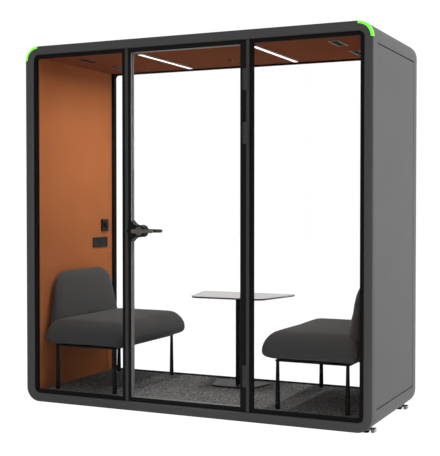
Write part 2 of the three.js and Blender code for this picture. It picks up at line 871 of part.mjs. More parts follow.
// Ceiling lights: a low metal channel with an opal cover let into it
sides.forEach(([name, sign]) => {
  const width = about(sign * lampOffset, lampWidth);
  const length = about(podMiddle, lampLength);
  const height = [ceiling - fit - lampHeight, ceiling - fit];
  const channel = block(
    grown(width, -lampWall),
    grown(length, -lampWall),
    [height[0] - 1, height[1] - lampWall],
  );
  add(`${name}_lamp_channel`, cut(block(width, length, height), channel), alloy);
  const cover = block(
    grown(width, -lampWall - fit),
    grown(length, -lampWall - fit),
    [height[0], height[1] - lampWall - fit],
  );
  add(`${name}_lamp_cover`, cover, opal);
});

// Vents: a lipped slot through the ceiling with slats; the front pair carry a fan housing on top
const ventTop = ceiling + ceilingBoard + fit;
const housingTop = ventTop + fanHousing;
const fanFloor = ventTop + fanHousing / 3;
const fanBore = fanRadius + fanGap;
const spiderTop = fanFloor + fanArmDepth;

function fanHousingParts(x, y) {
  const body = block(
    about(x, 2 * (fanBore + ventWall * 3)),
    about(y, Math.max(ventLength, 2 * fanBore) + 4 * ventWall),
    [ventTop, housingTop],
  );
  const chamber = block(
    about(x, 2 * fanBore),
    about(y, ventLength - 2 * ventWall),
    [ventTop + ventWall, fanFloor],
  );
  const bore = barAlongZ(fanBore, x, y, [fanFloor - 1, housingTop + 1], 32);
  const arms = [0, 1].map((turn) => {
    const arm = new THREE.BoxGeometry(2 * fanBore + ventWall, fanArmWidth, fanArmDepth);
    return arm.rotateZ((turn * Math.PI) / 2).translate(x, y, (fanFloor + spiderTop) / 2);
  });
  const boss = barAlongZ(fanHub * 0.6, x, y, [fanFloor, spiderTop]);
  return { body, chamber, bore, arms, boss };
}

ventPlaces.forEach(([name, x, y, hasFan]) => {
  const lip = plate(
    about(x, ventWidth + 2 * ventLip),
    about(y, ventLength + 2 * ventLip),
    ventLip,
    [ceiling - fit - ventWall, ceiling - fit],
  );
  const collar = block(about(x, ventWidth), about(y, ventLength), [ceiling - ventWall, ventTop + ventWall]);
  const slotX = about(x, ventWidth - 2 * ventWall);
  const slotY = about(y, ventLength - 2 * ventWall);
  const slot = block(slotX, slotY, [ceiling - 2 * ventWall, ventTop + 2 * ventWall]);
  const slats = [];
  for (let place = 1; place <= slatCount; place += 1) {
    const slatX = slotX[0] + (place * (slotX[1] - slotX[0])) / (slatCount + 1);
    slats.push(block(about(slatX, ventWall), grown(slotY, ventWall / 2), [ceiling, ceiling + slatHeight]));
  }
  if (!hasFan) {
    add(name, join(cut(join(lip, collar), slot), ...slats), alloy);
    return;
  }
  const { body, chamber, bore, arms, boss } = fanHousingParts(x, y);
  const housing = cut(join(lip, collar, body), chamber, bore, slot);
  const shaftHole = barAlongZ(fanShaft + fit, x, y, grown([fanFloor, spiderTop], 1), 12);
  add(name, cut(join(housing, ...slats, ...arms, boss), shaftHole), alloy);
});

// Fan rotors: a cupped hub on a shaft with pitched blades
function fanRotor(x, y) {
  const hubRange = [spiderTop + fanGap, housingTop - fanGap];
  const height = hubRange[1] - hubRange[0];
  const middle = (hubRange[0] + hubRange[1]) / 2;
  const pitch = THREE.MathUtils.degToRad(bladePitch);
  const chord = (height - bladeThickness * Math.cos(pitch)) / Math.sin(pitch);
  const blades = [];
  for (let i = 0; i < fanBlades; i += 1) {
    const reach = fanRadius - fanHub + 2;
    const blade = new THREE.BoxGeometry(reach, chord, bladeThickness);
    blade.rotateX(pitch).translate(fanHub - 2 + reach / 2, 0, 0);
    blades.push(blade.rotateZ((i * 2 * Math.PI) / fanBlades).translate(x, y, middle));
  }
  const swept = join(...blades);
  const trimmed = overlap(swept, barAlongZ(fanRadius, x, y, grown(hubRange, 1), 48));
  const hub = barAlongZ(fanHub, x, y, hubRange, 24);
  const shaft = barAlongZ(fanShaft, x, y, [fanFloor + 1, hubRange[1]], 12);
  return join(trimmed, hub, shaft);
}

ventPlaces.filter(([, , , hasFan]) => hasFan).forEach(([name, x, y]) => {
  add(name.replace('front_', '').replace('vent', 'fan_rotor'), fanRotor(x, y), blackPlastic);
});

// Presence sensor: a small dome under the ceiling
const sensor = turned([
  [0, -sensorDrop],
  [sensorRadius * 0.45, -sensorDrop * 0.92],
  [sensorRadius * 0.7, -sensorDrop * 0.6],
  [sensorRadius * 0.75, -sensorDrop * 0.25],
  [sensorRadius, -sensorDrop * 0.25],
  [sensorRadius, 0],
  [0, 0],
]);
add('presence_sensor', sensor.translate(sensorX, sensorY, ceiling - fit), blackPlastic);

// Wall controls on the left lining: a dimmer box with a fluted knob, and a socket plate below it
const wallFace = -inside;
const controlX = [wallFace + fit, wallFace + fit + controlDepth];
const controlRadii = [controlCorner, controlCorner, controlCorner, controlCorner];
const controlLoop = roundedLoop(
  about(controlY, controlWidth), about(controlZ, controlHeight), controlRadii, 0, 4,
);
const knobShaft = knobRadius * 0.2;

function barAlongX(radius, [x0, x1], y, z, steps = 20) {
  const bar = new THREE.CylinderGeometry(radius, radius, x1 - x0, steps);
  return bar.rotateZ(Math.PI / 2).translate((x0 + x1) / 2, y, z);
}

add('control_box', cut(
  across(new THREE.Shape(controlLoop), controlX),
  barAlongX(knobShaft + 2 * fit, [controlX[1] - controlDepth / 2, controlX[1] + 1], controlY, controlZ),
), blackPlastic);
const fluteCount = 18;
const fluteDepth = 0.8;
const knobOutline = [];
for (let i = 0; i < fluteCount * 4; i += 1) {
  const angle = (i * 2 * Math.PI) / (fluteCount * 4);
  const radius = knobRadius - fluteDepth * (1 - Math.cos(angle * fluteCount)) / 2;
  knobOutline.push(new THREE.Vector2(
    controlY + radius * Math.cos(angle),
    controlZ + radius * Math.sin(angle),
  ));
}
const knobX = [controlX[1] + fit, controlX[1] + fit + knobDepth];
const pointer = block(
  [knobX[1] - pointerDepth, knobX[1] + 1],
  about(controlY, pointerWidth),
  [controlZ + knobRadius / 3, controlZ + knobRadius + 1],
);
add('control_knob', cut(
  join(
    across(new THREE.Shape(knobOutline), knobX),
    barAlongX(knobShaft, [knobX[0] - controlDepth / 3, knobX[0] + 1], controlY, controlZ),
  ),
  pointer,
), blackPlastic);
const socketX = [wallFace + fit, wallFace + fit + socketDepth];
const socketRadii = [socketCorner, socketCorner, socketCorner, socketCorner];
const socketLoop = roundedLoop(
  about(socketY, socketWidth), about(socketZ, socketHeight), socketRadii, 0, 4,
);
const socketModules = [-1, 1].map((place) => block(
  [socketX[1] - socketRecess, socketX[1] + 1],
  about(socketY + (place * socketWidth) / 4, socketWidth / 2 - 2 * socketMargin),
  about(socketZ, socketHeight - 2 * socketMargin),
));
add('socket_plate', cut(across(new THREE.Shape(socketLoop), socketX), ...socketModules), blackPlastic);

// Mains inlet under the roof sheet, with its socket open upwards through the sheet
const inletTop = shellHeight - sheet - fit;
add('power_inlet', cut(
  join(
    block(about(inletX, inletWidth), about(inletY, inletLength), [inletTop - inletDepth, inletTop]),
    block(
      about(inletX, inletWidth + 2 * inletFlange),
      about(inletY, inletLength + 2 * inletFlange),
      [inletTop - sheet, inletTop],
    ),
  ),
  block(
    about(inletX, inletWidth - 4 * sheet),
    about(inletY, inletLength - 4 * sheet),
    [inletTop - inletDepth + 2 * sheet, inletTop + 1],
  ),
), blackPlastic);

// Benches: a domed seat with a soft roll all round, and a tapered back that sits down on it.
// The seat's rows of points run from its underside up to the crown.
function seatRows() {
  const rows = [];
  for (let step = 0; step < 4; step += 1) {
    const angle = (step / 4) * (Math.PI / 2);
    rows.push([seatUnderRoll * (1 - Math.sin(angle)), seatWaist * (1 - Math.cos(angle))]);
  }
  const rise = seatThickness - seatWaist;
  for (let step = 0; step <= 7; step += 1) {
    const angle = (step / 7) * (Math.PI / 2);
    rows.push([seatRoll * (1 - Math.cos(angle)), seatWaist + rise * Math.sin(angle)]);
  }
  [0.3, 0.7].forEach((share) => {
    const inset = seatRoll + share * (benchDepth / 2 - seatRoll);
    rows.push([inset, seatThickness + seatCrown * (1 - (1 - share) ** 2)]);
  });
  return rows;
}

// Half width of a soft form, 1 in the middle and drawn in to 0 at its ends
function softStations(steps, fullness) {
  const stations = [];
  for (let step = 1; step < steps; step += 1) {
    const angle = (step / steps - 0.5) * Math.PI;
    const along = Math.sign(angle) * Math.abs(Math.sin(angle)) ** (2 / fullness);
    stations.push([along, Math.cos(angle) ** (2 / fullness)]);
  }
  return stations;
}

function seatCushion(sign, clearance = 0) {
  const width = grown(sided(sign, benchRear - benchDepth, benchRear), clearance);
  const length = grown(about(podMiddle, benchLength), clearance);
  const radii = [seatCorner, seatCorner, seatCorner, seatCorner];
  const rows = seatRows().map(([inset, height]) => roundedLoop(width, length, radii, inset)
    .map((point) => new THREE.Vector3(point.x, point.y, benchUnderside + fit + height + clearance)));
  return skin(rows, false);
}

function backOutline() {
  const foot = backBaseWidth / 2;
  const head = backTopWidth / 2;
  const toe = backFootCorner;
  const top = backHeight;
  const shoulderZ = top - backShoulderDrop;
  const shoulderX = head + backShoulderFlare;
  const bendX = head + backShoulderFlare * 0.65;
  const bendZ = top - backShoulderDrop * 0.39;
  const crestX = head - backHeadCorner * 0.33;
  const path = new THREE.Path();
  path.moveTo(0, 0);
  path.lineTo(foot - toe, 0);
  path.bezierCurveTo(foot - toe * 0.2, 0, foot, toe * 0.25, foot - toe * 0.1, toe * 1.125);
  path.lineTo(shoulderX, shoulderZ);
  path.bezierCurveTo(bendX, bendZ, crestX, top, head - backHeadCorner, top);
  path.lineTo(backHeadCorner - head, top);
  path.bezierCurveTo(-crestX, top, -bendX, bendZ, -shoulderX, shoulderZ);
  path.lineTo(toe * 0.1 - foot, toe * 1.125);
  path.bezierCurveTo(-foot, toe * 0.25, toe * 0.2 - foot, 0, toe - foot, 0);
  path.closePath();
  return path.getSpacedPoints(42).slice(0, -1);
}

const backRear = benchRear + fit;
const backFoot = benchTop - backSink;

function backCushion(sign) {
  const outline = backOutline();
  const middle = backHeight * 0.45;
  const rows = softStations(12, 4).map(([along, width]) => outline.map((point) => {
    const height = point.y < middle ? point.y : middle + (point.y - middle) * (0.55 + 0.45 * width);
    const lean = height / backHeight;
    const thickness = backBaseThickness + (backTopThickness - backBaseThickness) * lean;
    const x = sign * (backRear - ((along + 1) / 2) * thickness);
    const y = podMiddle + point.x * (0.7 + 0.3 * width);
    return new THREE.Vector3(x, y, backFoot + height);
  }));
  const back = skin(sign > 0 ? rows.map((row) => row.slice().reverse()) : rows, false);
  return cut(back, seatCushion(sign, fit));
}

function benchFrame(sign) {
  const panTop = benchUnderside;
  const panBottom = panTop - panThickness;
  const rearLeg = benchRear - legInset;
  const panX = grown(sided(sign, rearLeg - legSpacingX, rearLeg), panMargin);
  const panY = grown(about(podMiddle, legSpacingY), panMargin);
  const pan = plate(panX, panY, panMargin, [panBottom, panTop]);
  const legs = [rearLeg, rearLeg - legSpacingX].flatMap((x) => [-1, 1].map((end) => {
    const height = panBottom - floorTop + 1;
    const leg = turned([
      [0, fit],
      [legFoot - legToe, fit],
      [legFoot, legToe + fit],
      [legTop, height],
      [0, height],
    ], 14);
    return leg.translate(sign * x, podMiddle + (end * legSpacingY) / 2, floorTop);
  }));
  const barX = sided(sign, backRear + fit, backRear + fit + backBar);
  const bars = [-1, 1].flatMap((end) => {
    const width = about(podMiddle + (end * backBarSpacing) / 2, backBarWidth);
    return [
      block(barX, width, [panBottom, panBottom + backBarHeight]),
      block(sided(sign, benchRear - legInset, backRear + fit + backBar), width, [panBottom, panTop]),
    ];
  });
  return join(pan, ...legs, ...bars);
}

sides.forEach(([name, sign]) => {
  add(`${name}_bench_frame`, benchFrame(sign), blackMetal);
  add(`${name}_seat_cushion`, seatCushion(sign), upholstery);
  add(`${name}_back_cushion`, backCushion(sign), upholstery);
});

// Table: a thin top with an undercut edge on a welded pedestal. The top and the foot plate are
// tapered: they narrow from the rear glass towards the door.
function taperedLoop(length, width, corner, inset, z) {
  const radii = [corner, corner, corner, corner];
  return roundedLoop(about(0, length), about(0, width), radii, inset).map((point) => {
    const back = point.y / width + 0.5;
    const share = tableTaper + (1 - tableTaper) * back;
    return new THREE.Vector3(tableX + point.x * share, tableY + point.y, z);
  });
}

const tableTopZ = floorTop + tableHeight;
const tableEdge = [
  [tableUndercut, 0],
  [0, tableThickness * 0.7],
  [0, tableThickness - tableEase],
  [tableEase, tableThickness],
];
add('table_top', skin(tableEdge.map(([inset, height]) => taperedLoop(
  tableLength, tableWidth, tableCorner, inset, tableTopZ - tableThickness + height,
)), false), whiteLaminate);
const footPlateZ = [floorTop + fit, floorTop + fit + standPlate];
const footPlate = skin(footPlateZ.map((z) => taperedLoop(standLength, standWidth, standCorner, 0, z)), false);
const spiderTopZ = tableTopZ - tableThickness - fit;
add('table_stand', join(
  footPlate,
  barAlongZ(columnRadius, tableX, tableY, [floorTop + standPlate / 2, spiderTopZ - 1], 24),
  plate(
    about(tableX, spiderSize),
    about(tableY, spiderSize * 0.7),
    spiderCorner,
    [spiderTopZ - spiderPlate, spiderTopZ],
  ),
), blackMetal);

// Origin on the ground, under the middle of everything including the lever that stands proud
pod.position.set(0, (leverReach - podDepth) / 2, footHeight);

export default pod;
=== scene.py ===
import math

import bmesh
import bpy
from mathutils import Matrix, Vector


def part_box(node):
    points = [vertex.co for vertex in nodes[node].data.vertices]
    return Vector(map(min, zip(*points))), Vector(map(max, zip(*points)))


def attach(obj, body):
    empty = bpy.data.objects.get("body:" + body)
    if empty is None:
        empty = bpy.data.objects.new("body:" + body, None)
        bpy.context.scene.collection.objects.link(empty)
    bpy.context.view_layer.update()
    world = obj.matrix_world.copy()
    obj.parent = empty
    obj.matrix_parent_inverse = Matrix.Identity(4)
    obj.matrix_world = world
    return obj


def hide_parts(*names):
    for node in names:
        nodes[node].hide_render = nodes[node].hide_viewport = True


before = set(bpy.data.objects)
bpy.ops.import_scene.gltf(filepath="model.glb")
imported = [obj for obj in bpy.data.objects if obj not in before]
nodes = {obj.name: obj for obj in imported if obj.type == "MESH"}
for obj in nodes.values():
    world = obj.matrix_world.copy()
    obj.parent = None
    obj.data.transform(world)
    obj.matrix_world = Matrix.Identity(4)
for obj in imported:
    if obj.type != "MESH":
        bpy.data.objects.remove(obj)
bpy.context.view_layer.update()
scene = bpy.context.scene
scene.view_settings.view_transform = "Standard"

# The room: a camera standing to the right of the door at chest height, a white floor and white
# surroundings, a broad soft light on the right and a weak one in front. The pod's own ceiling
# lights come with its lamps.
camera_data = bpy.data.cameras.new("camera")
camera_data.sensor_width = 36
camera_data.lens = 78.93
camera = bpy.data.objects.new("camera", camera_data)
camera.location = (2.703, -5.779, 1.288)
camera.rotation_euler = (math.radians(88.678), 0, math.radians(25.0))
scene.collection.objects.link(camera)
scene.camera = camera


class Wire:
    """One socket of a finish. Sums and products of wires add Math nodes; node() adds any other."""

    mix_first, mix_second, mix_result = 6, 7, 2

    def __init__(self, tree, socket):
        self.tree = tree
        self.socket = socket

    def node(self, kind, settings=None, values=None, output=0):
        """Adds a node: first its settings, then the values or wires of its inputs."""
        made = self.tree.nodes.new(kind)
        for key, value in (settings or {}).items():
            setattr(made, key, value)
        for key, value in (values or {}).items():
            if isinstance(value, Wire):
                self.tree.links.new(value.socket, made.inputs[key])
            else:
                made.inputs[key].default_value = value
        return Wire(self.tree, made.outputs[output])

    def math(self, operation, *terms):
        """Adds a Math node on one or two terms."""
        return self.node("ShaderNodeMath", {"operation": operation}, dict(enumerate(terms)))

    def __add__(self, other):
        return self.math("ADD", self, other)

    def __radd__(self, other):
        return self.math("ADD", other, self)

    def __sub__(self, other):
        return self.math("SUBTRACT", self, other)

    def __rsub__(self, other):
        return self.math("SUBTRACT", other, self)

    def __mul__(self, other):
        return self.math("MULTIPLY", self, other)

    def __rmul__(self, other):
        return self.math("MULTIPLY", other, self)

    def __pow__(self, other):
        return self.math("POWER", self, other)

    def __rpow__(self, other):
        return self.math("POWER", other, self)

    def between(self, least, most):
        """Spreads 0 to 1 over the range from least to most."""
        return least + (most - least) * self

    def above(self, limit):
        """1 where the value is over the limit, and 0 elsewhere."""
        return self.math("GREATER_THAN", self, limit)

    def below(self, limit):
        """1 where the value is under the limit, and 0 elsewhere."""
        return self.math("LESS_THAN", self, limit)

    def along(self, axis):
        """The X, Y or Z of a place."""
        return self.node("ShaderNodeSeparateXYZ", None, {0: self}, axis)

    def noise(self, scale, detail=2.0, roughness=0.5):
        """Soft random patches, about as many to the metre as the scale says."""
        values = {"Vector": self, "Scale": scale, "Detail": detail, "Roughness": roughness}
        return self.node("ShaderNodeTexNoise", None, values)

    def blend(self, first, second):
        """The first colour at 0 and the second at 1. Each is a colour or a wire."""
        first, second = (end if isinstance(end, Wire) else (*end, 1) for end in (first, second))
        values = {0: self, Wire.mix_first: first, Wire.mix_second: second}
        return self.node("ShaderNodeMix", {"data_type": "RGBA"}, values, Wire.mix_result)

    def bump(self, strength, distance):
        """A surface raised where the wire is high."""
        values = {"Strength": strength, "Distance": distance, "Height": self}
        return self.node("ShaderNodeBump", None, values)

    def feed(self, shader, socket):
        """Joins the wire to a socket of the shader."""
        self.tree.links.new(self.socket, shader.inputs[socket])


def seen_rays(tree):
    """1 for rays that see the background: straight, mirrored or through glass."""
    path = tree.nodes.new("ShaderNodeLightPath")
    straight = Wire(tree, path.outputs["Is Camera Ray"])
    mirrored_ray = Wire(tree, path.outputs["Is Glossy Ray"])
    through = Wire(tree, path.outputs["Is Transmission Ray"])
    return straight.math("MAXIMUM", straight.math("MAXIMUM", straight, mirrored_ray), through)


ambient = 0.36
room_white = 1.03
world = bpy.data.worlds.new("white_room")
world.use_nodes = True
scene.world = world
background = world.node_tree.nodes["Background"]
background.inputs["Color"].default_value = (1, 1, 1, 1)
seen_rays(world.node_tree).between(ambient, room_white).feed(background, "Strength")

floor_reach = 30
floor_white = 1.14
floor_glow_share = 0.9
floor_corners = [(-1, -1), (1, -1), (1, 1), (-1, 1)]
floor_mesh = bpy.data.meshes.new("floor")
floor_points = [(x * floor_reach, y * floor_reach, 0) for x, y in floor_corners]
floor_mesh.from_pydata(floor_points, [], [(0, 1, 2, 3)])
floor = bpy.data.objects.new("floor", floor_mesh)
scene.collection.objects.link(floor)
floor_paint = bpy.data.materials.new("floor_paint")
floor_paint.use_nodes = True
floor_tree = floor_paint.node_tree
floor_tree.nodes.clear()
floor_end = floor_tree.nodes.new("ShaderNodeOutputMaterial")
floor_seen = floor_glow_share * seen_rays(floor_tree)
floor_matt = floor_seen.node("ShaderNodeBsdfDiffuse", None, {"Color": (0.9, 0.9, 0.9, 1)})
glow_values = {"Color": (1, 1, 1, 1), "Strength": floor_white}
floor_glow = floor_seen.node("ShaderNodeEmission", None, glow_values)
floor_values = {0: floor_seen, 1: floor_matt, 2: floor_glow}
floor_seen.node("ShaderNodeMixShader", None, floor_values).feed(floor_end, "Surface")
floor_mesh.materials.append(floor_paint)


def area_light(name, place, target, size, power):
    """A soft light turned to a target. It lights the pod and isn't seen itself."""
    light = bpy.data.lights.new(name, "AREA")
    light.shape = "RECTANGLE"
    light.size, light.size_y = size
    light.energy = power
    light_object = bpy.data.objects.new(name, light)
    light_object.location = place
    aim = Vector(target) - Vector(place)
    light_object.rotation_euler = aim.to_track_quat("-Z", "Y").to_euler()
    scene.collection.objects.link(light_object)
    light_object.visible_camera = False
    return light


area_light("side_softbox", place=(7.0, 0.6, 2.8), target=(1.1, 0, 1.2), size=(4.5, 4.0), power=357)
area_light(
    "front_softbox", place=(2.2, -6.0, 5.0), target=(-0.3, 0, 1.0), size=(3.0, 2.5), power=14)

# Ring frames and roof sheet: the rounded rings at the front and rear, and the sheet between their
# tops. Folded and welded steel, powder coated in graphite grey with a fine orange-peel surface.
graphite_dark = (0.098, 0.098, 0.099)
graphite_light = (0.11, 0.11, 0.111)
shell_roughness = 0.55
shell_grain = 850.0
shell_specular = 0.12
peel_swing = 0.06
sharp_angle = math.radians(32)
weld_gap = 0.00001


def finish(name, colour, roughness, metallic=0.0, specular=0.5):
    """A new material with its shader, and a wire of the place on the piece."""
    material = bpy.data.materials.new(name)
    material.use_nodes = True
    tree = material.node_tree
    shader = tree.nodes["Principled BSDF"]
    shader.inputs["Base Color"].default_value = (*colour, 1)
    shader.inputs["Roughness"].default_value = roughness
    shader.inputs["Metallic"].default_value = metallic
    shader.inputs["Specular IOR Level"].default_value = specular
    place = tree.nodes.new("ShaderNodeTexCoord")
    return material, shader, Wire(tree, place.outputs["Object"])


def coat(material, *names):
    """Puts a finish on CAD pieces."""
    for name in names:
        for slot in nodes[name].material_slots:
            slot.material = material


def cloudy(place, dark, light):
    """The colour of a sprayed coat, a little uneven over the width of a panel."""
    return place.noise(3.0, detail=4.0).blend(dark, light)


def orange_peel(shader, place, roughness, grain):
    """The pebbled surface of a sprayed coat, in its gloss and its bumps."""
    peel = place.noise(grain, detail=3.0)
    peel.between(roughness - peel_swing, roughness + peel_swing).feed(shader, "Roughness")
    peel.bump(strength=0.35, distance=0.0003).feed(shader, "Normal")


def powder_coat(name, dark, light, roughness, grain=shell_grain, specular=shell_specular):
    """A sprayed and baked coat of one colour."""
    material, shader, place = finish(name, light, roughness, specular=specular)
    cloudy(place, dark, light).feed(shader, "Base Color")
    orange_peel(shader, place, roughness, grain)
    return material


def link_all(tree, pairs):
    """Joins each output to the input beside it."""
    for source, target in pairs:
        tree.links.new(source, target)


def shading_tree():
    """Smooth shading over gentle curves, kept sharp at edges over the sharp angle."""
    tree = bpy.data.node_groups.new("rounded_shading", "GeometryNodeTree")
    for way in ("INPUT", "OUTPUT"):
        tree.interface.new_socket("Geometry", in_out=way, socket_type="NodeSocketGeometry")
    start = tree.nodes.new("NodeGroupInput")
    weld = tree.nodes.new("GeometryNodeMergeByDistance")
    weld.inputs["Distance"].default_value = weld_gap
    smooth = tree.nodes.new("GeometryNodeSetShadeSmooth")
    angle = tree.nodes.new("GeometryNodeInputMeshEdgeAngle")
    limit = tree.nodes.new("FunctionNodeCompare")
    limit.operation = "GREATER_THAN"
    limit.inputs[1].default_value = sharp_angle
    sharp = tree.nodes.new("GeometryNodeSetShadeSmooth")
    sharp.domain = "EDGE"
    sharp.inputs["Shade Smooth"].default_value = False
    end = tree.nodes.new("NodeGroupOutput")
    link_all(tree, (
        (start.outputs[0], weld.inputs["Geometry"]),
        (weld.outputs["Geometry"], smooth.inputs[0]),
        (angle.outputs["Unsigned Angle"], limit.inputs[0]),
        (smooth.outputs[0], sharp.inputs[0]),
        (limit.outputs[0], sharp.inputs["Selection"]),
        (sharp.outputs[0], end.inputs[0]),
    ))
    return tree


def rounded_shading(*names):
    """Lets the curves of CAD pieces shade smoothly."""
    for name in names:
        modifier = nodes[name].modifiers.new("rounded_shading", "NODES")
        modifier.node_group = smooth_curves


smooth_curves = shading_tree()
graphite = powder_coat("graphite_powder_coat", graphite_dark, graphite_light, shell_roughness)
coat(graphite, "front_frame", "rear_frame", "roof_shell")
rounded_shading("front_frame", "rear_frame", "roof_shell")

# Base sheet: folded steel with rounded shoulders under the floor, in the coat of the rings. The
# brackets for the feet are welded below it; their pale grey is painted light, for the side light on
# them.


def grey(tone):
    """A neutral colour."""
    return (tone, tone, tone)


bracket_gap = 0.0005
base_coat, base_shader, base_place = finish(
    "base_coat", graphite_light, shell_roughness, specular=shell_specular)
# Pale grey below the ring's foot: painted light on the brackets, for the side light that falls on
# them.
brackets = base_place.along("Z").below(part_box("front_frame")[0].z - bracket_gap)
base_colour = cloudy(base_place, graphite_dark, graphite_light)
brackets.blend(base_colour, grey(0.4)).feed(base_shader, "Base Color")
orange_peel(base_shader, base_place, shell_roughness, shell_grain)
coat(base_coat, "base_shell")
rounded_shading("base_shell")

# Side panels: flat steel sheets hung in a shadow gap between the rings, powder coated in the same
# grey, a little lighter and more matt.
panel_paint = powder_coat("panel_powder_coat", (0.1, 0.1, 0.101), (0.112, 0.112, 0.113), 0.6)
coat(panel_paint, "left_side_panel", "right_side_panel")

# Door posts: folded steel mullions on either side of the door, screwed into the front ring and
# powder coated in a darker grey than the rings.
post_paint = powder_coat(
    "post_powder_coat", (0.066, 0.066, 0.067), (0.076, 0.076, 0.077), shell_roughness)
coat(post_paint, "left_mullion", "right_mullion")

# Corner lights: green light guides of clear plastic let into the upper corners of the front ring,
# lit from behind by a short row of diodes.
green_glow = 0.9
green, green_shader, green_place = finish("green_light_guide", (0.12, 0.9, 0.04), 0.35)
green_shader.inputs["Emission Strength"].default_value = green_glow
green_spread = green_place.noise(60.0, detail=1.0)
green_spread.blend((0.15, 0.95, 0.035), (0.2, 1.0, 0.05)).feed(green_shader, "Emission Color")
green_spread.blend((0.1, 0.8, 0.03), (0.13, 0.9, 0.04)).feed(green_shader, "Base Color")
coat(green, "left_corner_light", "right_corner_light")
rounded_shading("left_corner_light", "right_corner_light")

# Levelling feet: pads on threaded studs, screwed up into the brackets of the base sheet. The pads
# are moulded in black rubber, matt and a little dusty.
rubber_black = 0.009
rubber, rubber_shader, rubber_place = finish(
    "black_glazing_rubber", grey(rubber_black), 0.6, specular=0.05)
dust = rubber_place.noise(40.0, detail=5.0)
dusty_rubber = dust.blend(grey(0.8 * rubber_black), grey(1.3 * rubber_black))
dusty_rubber.feed(rubber_shader, "Base Color")
dust.between(0.52, 0.68).feed(rubber_shader, "Roughness")
rubber_place.noise(1800.0).bump(strength=0.2, distance=0.0002).feed(rubber_shader, "Normal")
coat(rubber, "front_left_foot", "front_right_foot", "rear_left_foot", "rear_right_foot")

# Wall and ceiling linings: boards of grey sound absorber faced with pressed orange polyester felt,
# pushed in between the rings. On the ceiling the felt is painted a darker rust, as painted shade.
felt_thickness = 0.009


def felt(name, dark, light, axis, face):
    """Felt on a board whose face is at a place on one axis, and bare absorber behind the felt."""
    material, shader, place = finish(name, light, 1.0, specular=0.02)
    shader.inputs["Sheen Weight"].default_value = 0.03
    fibres = place.noise(420.0, detail=6.0, roughness=0.65)
    patches = place.noise(5.0, detail=3.0)
    felt_colour = (0.6 * fibres + 0.4 * patches).blend(dark, light)
    reach = place.along(axis)
    board = reach.math("ABSOLUTE", reach).above(face + felt_thickness)
    board.blend(felt_colour, grey(0.05)).feed(shader, "Base Color")
    fibres.between(0.88, 0.98).feed(shader, "Roughness")
    fuzz = place.noise(1500.0, detail=4.0, roughness=0.7)
    (fuzz + 0.6 * fibres).bump(strength=0.45, distance=0.0006).feed(shader, "Normal")
    return material


wall_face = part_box("right_wall_lining")[0].x
wall_felt = felt("orange_wall_felt", (0.32, 0.102, 0.035), (0.535, 0.18, 0.063), "X", wall_face)
coat(wall_felt, "left_wall_lining", "right_wall_lining")
ceiling_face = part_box("ceiling_lining")[0].z
# The ceiling's darker rust colours are painted shade on the same orange felt as the walls.
ceiling_felt = felt(
    "painted_shade_ceiling_felt", (0.17, 0.046, 0.0135), (0.28, 0.079, 0.0245), "Z", ceiling_face)
coat(ceiling_felt, "ceiling_lining")

# Floor deck: a plywood board on joists, screwed down inside the base sheet. Its front edge, which
# is the sill under the door, is stained black.
sill_depth = 0.04
plywood, plywood_shader, plywood_place = finish("raw_plywood", (0.4, 0.25, 0.12), 0.75)
grain_values = {0: plywood_place, "Scale": (1, 9, 9)}
plywood_grain = plywood_place.node("ShaderNodeMapping", None, grain_values)
bare_wood = plywood_grain.noise(14.0, detail=6.0).blend((0.3, 0.17, 0.08), (0.46, 0.3, 0.15))
sill = plywood_place.along("Y").below(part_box("floor_deck")[0].y + sill_depth)
sill.blend(bare_wood, grey(0.012)).feed(plywood_shader, "Base Color")
coat(plywood, "floor_deck")

# Carpet: loop pile flecked in black and grey, cut to the floor and glued down on the deck. Each
# tuft has a shade of its own.
tufts_per_metre = 150.0
carpet, carpet_shader, carpet_place = finish("flecked_carpet", grey(0.1), 1.0, specular=0.05)
tuft_values = {"Vector": carpet_place, "Scale": tufts_per_metre, "Randomness": 0.9}
tuft_colour = carpet_place.node("ShaderNodeTexVoronoi", None, tuft_values, "Color")
tuft_reach = carpet_place.node("ShaderNodeTexVoronoi", None, tuft_values, "Distance")
tuft_shade = tuft_colour.node("ShaderNodeSeparateColor", None, {0: tuft_colour}, "Red")
tuft_tone = 0.8 * tuft_shade ** 1.6 + 0.2 * carpet_place.noise(700.0, detail=3.0)
tuft_tone.blend((0.03, 0.03, 0.0295), (0.41, 0.41, 0.403)).feed(carpet_shader, "Base Color")
(1 - tuft_reach).bump(strength=0.8, distance=0.002).feed(carpet_shader, "Normal")
coat(carpet, "carpet")

# Panes: 10 mm clear glass, set beside the door, across the rear and in the door. They stay clear
# face on, and gain a faint tint where they are seen nearly edge on.
clear_share = 0.004
edge_share = 0.254
glass, glass_shader, glass_place = finish("clear_pane", (0.3, 0.33, 0.32), 0.03)
facing = glass_place.node("ShaderNodeLayerWeight", None, {"Blend": 0.5}, "Facing")
(facing ** 4).between(clear_share, edge_share).feed(glass_shader, "Alpha")
glass_place.noise(2.0).between(0.015, 0.035).feed(glass_shader, "Roughness")
coat(glass, "left_front_glass", "right_front_glass", "rear_left_glass", "rear_right_glass")
coat(glass, "door_glass")

# Gaskets and rear glazing frame: black channels pressed round the fixed panes, in the rubber of
# the feet.
coat(rubber, "left_gasket", "right_gasket", "rear_glazing_frame")

# Door frame: a slim aluminium frame round the door's pane, sprayed black on its face and back,
# with grey returns between the two. Their light grey is partly painted light, for the lit inner
# edges.
door_black = grey(0.011)
door_roughness = 0.45
fine_grain = 1200.0
face_depth = 0.0015
door_low, door_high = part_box("door_frame")
door_coat, door_shader, door_place = finish(
    "door_frame_coat", door_black, door_roughness, specular=0.06)
door_depth = door_place.along("Y")
behind_face = door_depth.above(door_low.y + face_depth)
before_back = door_depth.below(door_high.y - face_depth)
# The returns' grey is partly their aluminium and partly painted light, for their lit inner edges.
(behind_face * before_back).blend(door_black, grey(0.3)).feed(door_shader, "Base Color")
orange_peel(door_shader, door_place, door_roughness, fine_grain)
coat(door_coat, "door_frame")

